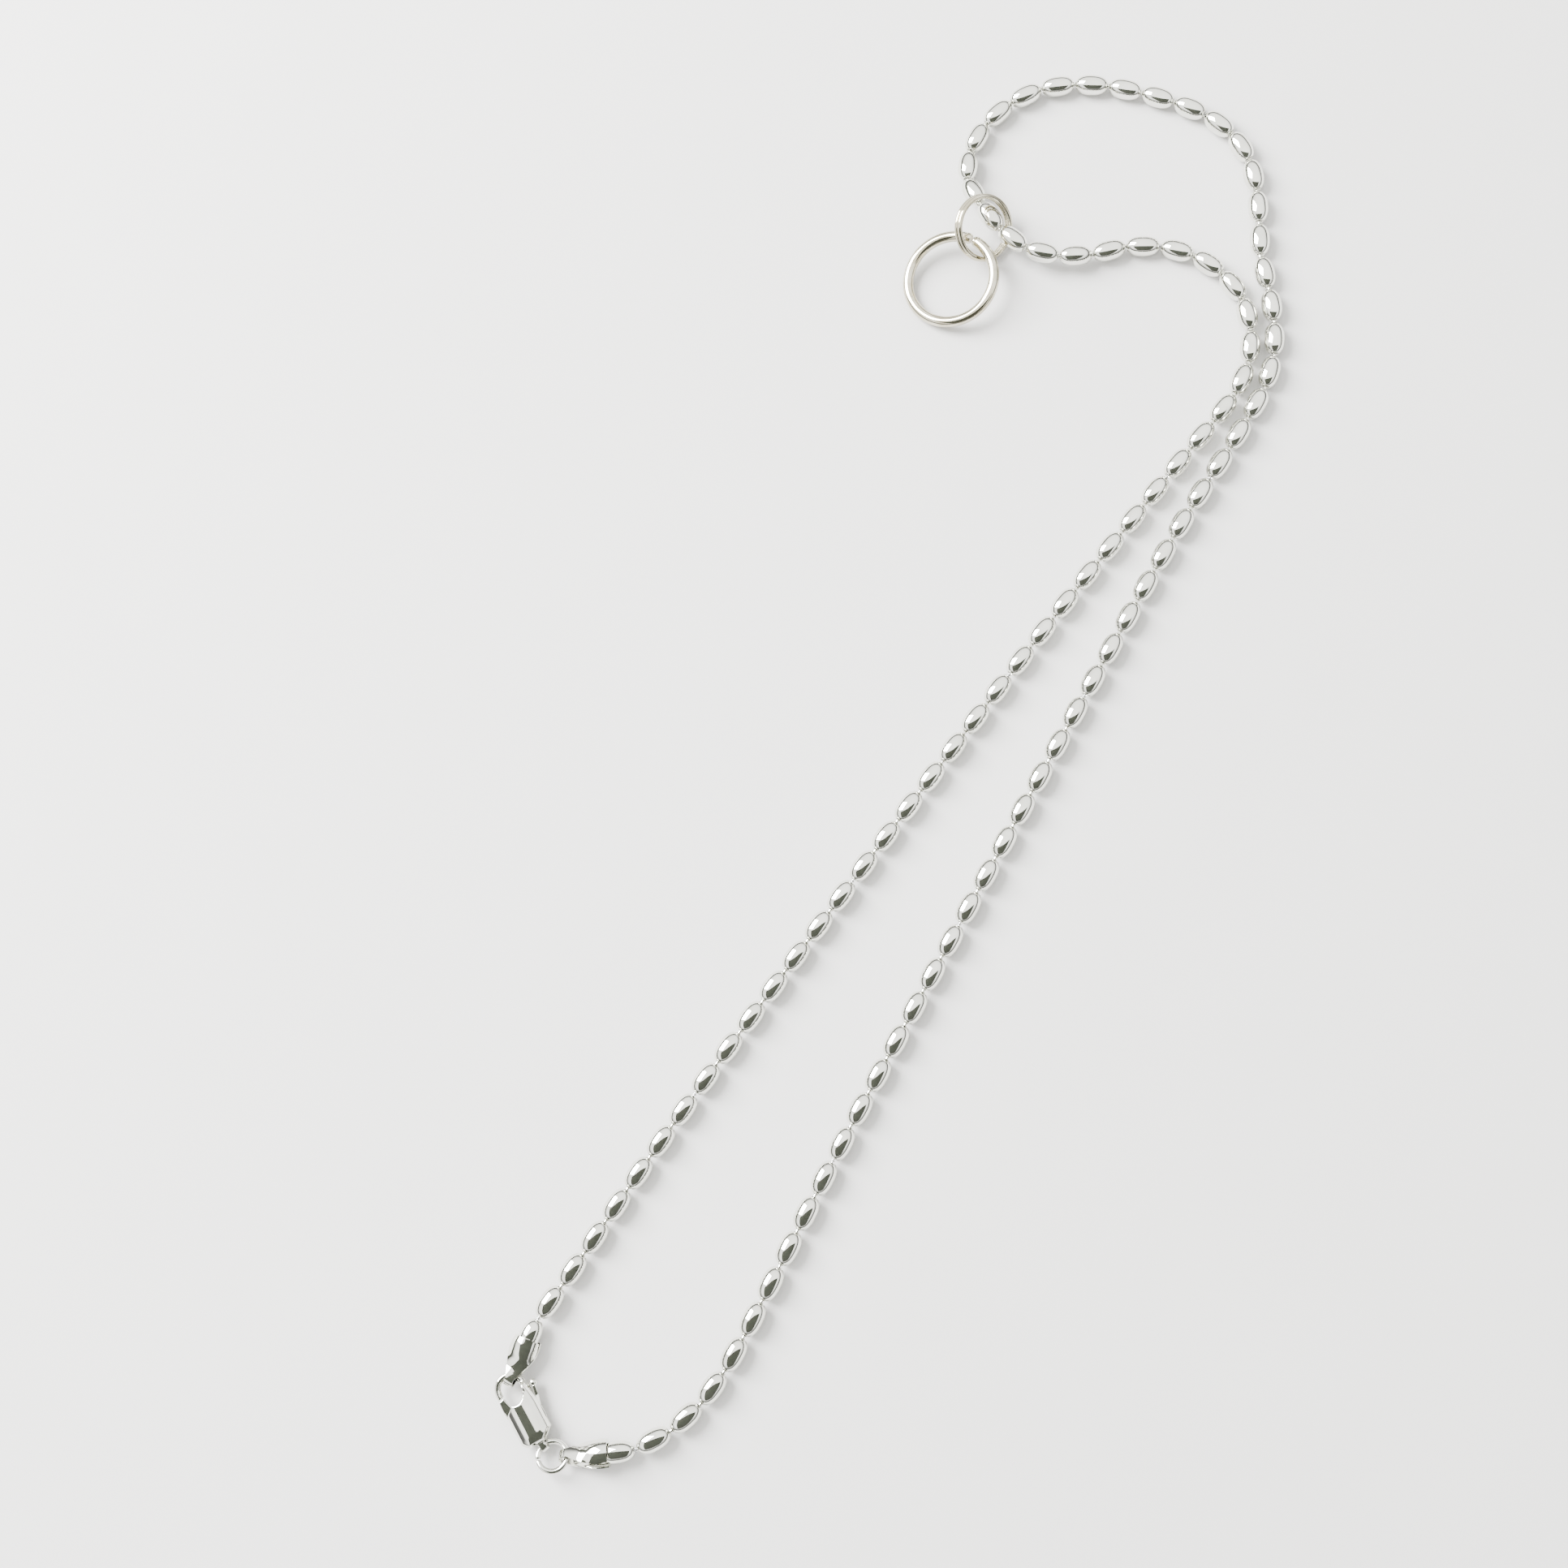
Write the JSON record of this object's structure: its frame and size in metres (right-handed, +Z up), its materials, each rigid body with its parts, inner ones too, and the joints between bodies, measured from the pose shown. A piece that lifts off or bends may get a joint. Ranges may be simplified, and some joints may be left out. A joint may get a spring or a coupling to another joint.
{
  "type": "eyeglass retainer chain",
  "caption": "Closed necklace of polished oval metal beads with a lobster clasp; a split ring on it carries a larger ring that holds the temple of a pair of glasses.",
  "frame": {"origin": "centre of the bounding box in X and Y, on the plane that the necklace lies on", "axes": "+Y from the clasp to the head loop, the long way of the necklace as it lies; +Z up from the plane it lies on; +X to the right when seen from above"},
  "size_m": [0.0543, 0.2064, 0.0077],
  "materials": {
    "silver_polish": "mirror-polished silver",
    "ring_metal": "soft-polished, slightly warm silver",
    "inner_steel": "plain drawn wire"
  },
  "bodies": {
    "clasp_end": {"end_cap_hook_side": "silver_polish", "end_cap_ring_side": "silver_polish", "end_bead_hook_side": "silver_polish", "end_bead_ring_side": "silver_polish", "link_pin_1": "inner_steel", "link_pin_96": "inner_steel"},
    "strands_1": {"beads_hook_side_1": "silver_polish", "beads_ring_side_1": "silver_polish", "link_pin_8": "inner_steel", "link_pin_87": "inner_steel"},
    "strands_2": {"beads_hook_side_2": "silver_polish", "beads_ring_side_2": "silver_polish", "link_pin_15": "inner_steel", "link_pin_80": "inner_steel"},
    "strands_3": {"beads_hook_side_3": "silver_polish", "beads_ring_side_3": "silver_polish", "link_pin_22": "inner_steel", "link_pin_73": "inner_steel"},
    "strands_4": {"beads_hook_side_4": "silver_polish", "beads_ring_side_4": "silver_polish", "link_pin_29": "inner_steel", "link_pin_66": "inner_steel"},
    "head_loop": {"beads_loop_inner": "silver_polish", "beads_loop_outer": "silver_polish", "link_pin_38": "inner_steel", "link_pin_54": "inner_steel"},
    "ring_loop": {"beads_ring_loop": "silver_polish"},
    "split_ring": {"split_ring": "ring_metal"},
    "temple_ring": {"temple_ring": "ring_metal"},
    "jump_ring": {"jump_ring": "silver_polish"},
    "clasp": {"clasp_body": "silver_polish", "clasp_pivot_pin": "inner_steel", "clasp_spring": "inner_steel"},
    "trigger": {"clasp_trigger": "silver_polish"}
  },
  "joints": [
    {"name": "end_fold", "type": "hinge", "parent": "clasp_end", "child": "strands_1", "pos_m": [-0.01451, -0.09085, 0.00172], "axis": [0.8565, -0.5161, -0.0002], "range_deg": [0, 20]},
    {"name": "fold_1", "type": "hinge", "parent": "strands_1", "child": "strands_2", "pos_m": [-0.00437, -0.05271, 0.00139], "axis": [0.995, -0.0994, 0.0005], "range_deg": [0, 25]},
    {"name": "fold_2", "type": "hinge", "parent": "strands_2", "child": "strands_3", "pos_m": [0.00341, -0.01873, 0.0014], "axis": [0.9982, -0.0596, 0], "range_deg": [0, 25]},
    {"name": "fold_3", "type": "hinge", "parent": "strands_3", "child": "strands_4", "pos_m": [0.01155, 0.01517, 0.0014], "axis": [0.9997, 0.0247, 0], "range_deg": [0, 25]},
    {"name": "fold_4", "type": "hinge", "parent": "strands_4", "child": "head_loop", "pos_m": [0.02049, 0.04885, 0.0014], "axis": [0.9635, 0.2678, 0], "range_deg": [0, 25]},
    {"name": "loop_fold", "type": "hinge", "parent": "head_loop", "child": "ring_loop", "pos_m": [0.00595, 0.09044, 0.00139], "axis": [-0.0081, 1, 0.0006], "range_deg": [0, 20]},
    {"name": "split_ring_swing", "type": "hinge", "parent": "ring_loop", "child": "split_ring", "pos_m": [-0.01342, 0.07442, 0.00306], "axis": [-0.9263, 0.3761, -0.022], "range_deg": [0, 80]},
    {"name": "temple_ring_swing", "type": "hinge", "parent": "split_ring", "child": "temple_ring", "pos_m": [-0.0166, 0.07082, 0.00189], "axis": [0.699, 0.491, -0.52], "range_deg": [-100, 0]},
    {"name": "jump_ring_turn", "type": "hinge", "parent": "clasp_end", "child": "jump_ring", "pos_m": [-0.01566, -0.10114, 0.0017], "axis": [-0.0748, 0.2301, 0.9703], "continuous": true},
    {"name": "clasp_roll", "type": "hinge", "parent": "clasp_end", "child": "clasp", "pos_m": [-0.01734, -0.1003, 0.00138], "axis": [-0.753, 0.6571, 0.0332], "range_deg": [-5, 3]},
    {"name": "trigger_open", "type": "hinge", "parent": "clasp", "child": "trigger", "pos_m": [-0.01992, -0.09867, 0.00165], "axis": [0, 0, -1], "range_deg": [0, 24], "stiffness_Nm_per_rad": 0.002, "springref_deg": -17.19}
  ]
}
